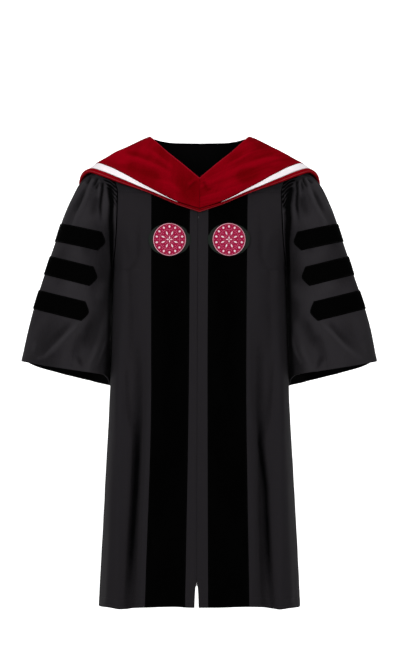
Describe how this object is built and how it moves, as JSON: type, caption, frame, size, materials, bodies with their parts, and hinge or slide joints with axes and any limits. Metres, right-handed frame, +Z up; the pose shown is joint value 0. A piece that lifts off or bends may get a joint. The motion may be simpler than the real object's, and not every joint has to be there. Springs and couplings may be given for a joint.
{
  "type": "graduation gown",
  "caption": "Hollow academic gown as worn, with velvet front panels and sleeve bars, wide gathered sleeves on a yoke, and a velvet hood that lies on the shoulders as a pointed collar.",
  "frame": {"origin": "midway between the two neck points of the shoulders, where the wearer's shoulders carry the gown; everything but the neck's edge hangs below it", "axes": "+Z up along the standing wearer, -Y to the front, +X to the wearer's left"},
  "size_m": [0.9226, 0.388, 1.2181],
  "materials": {
    "gown_cloth": "plain-woven polyester, fluted and matt with a faint sheen",
    "black_velvet": "black velvet",
    "hood_velvet": "crimson velvet",
    "hood_rim": "dark crimson velvet, rolled to the outside",
    "hood_satin": "white satin",
    "badge_patch": "dark green-grey felt",
    "badge_cloth": "embroidered twill, crimson with white"
  },
  "bodies": {
    "root": {"front_right": "gown_cloth", "panel_right": "black_velvet", "sleeve_right": "gown_cloth", "under_sleeve_right": "gown_cloth", "bar_top_right": "black_velvet", "bar_middle_right": "black_velvet", "bar_bottom_right": "black_velvet", "patch_right": "badge_patch", "badge_right": "badge_cloth", "front_left": "gown_cloth", "panel_left": "black_velvet", "sleeve_left": "gown_cloth", "under_sleeve_left": "gown_cloth", "bar_top_left": "black_velvet", "bar_middle_left": "black_velvet", "bar_bottom_left": "black_velvet", "patch_left": "badge_patch", "badge_left": "badge_cloth", "back": "gown_cloth", "yoke": "gown_cloth", "hood_velvet": "hood_velvet", "hood_lining": "hood_satin", "hood_rim": "hood_rim"}
  },
  "joints": []
}
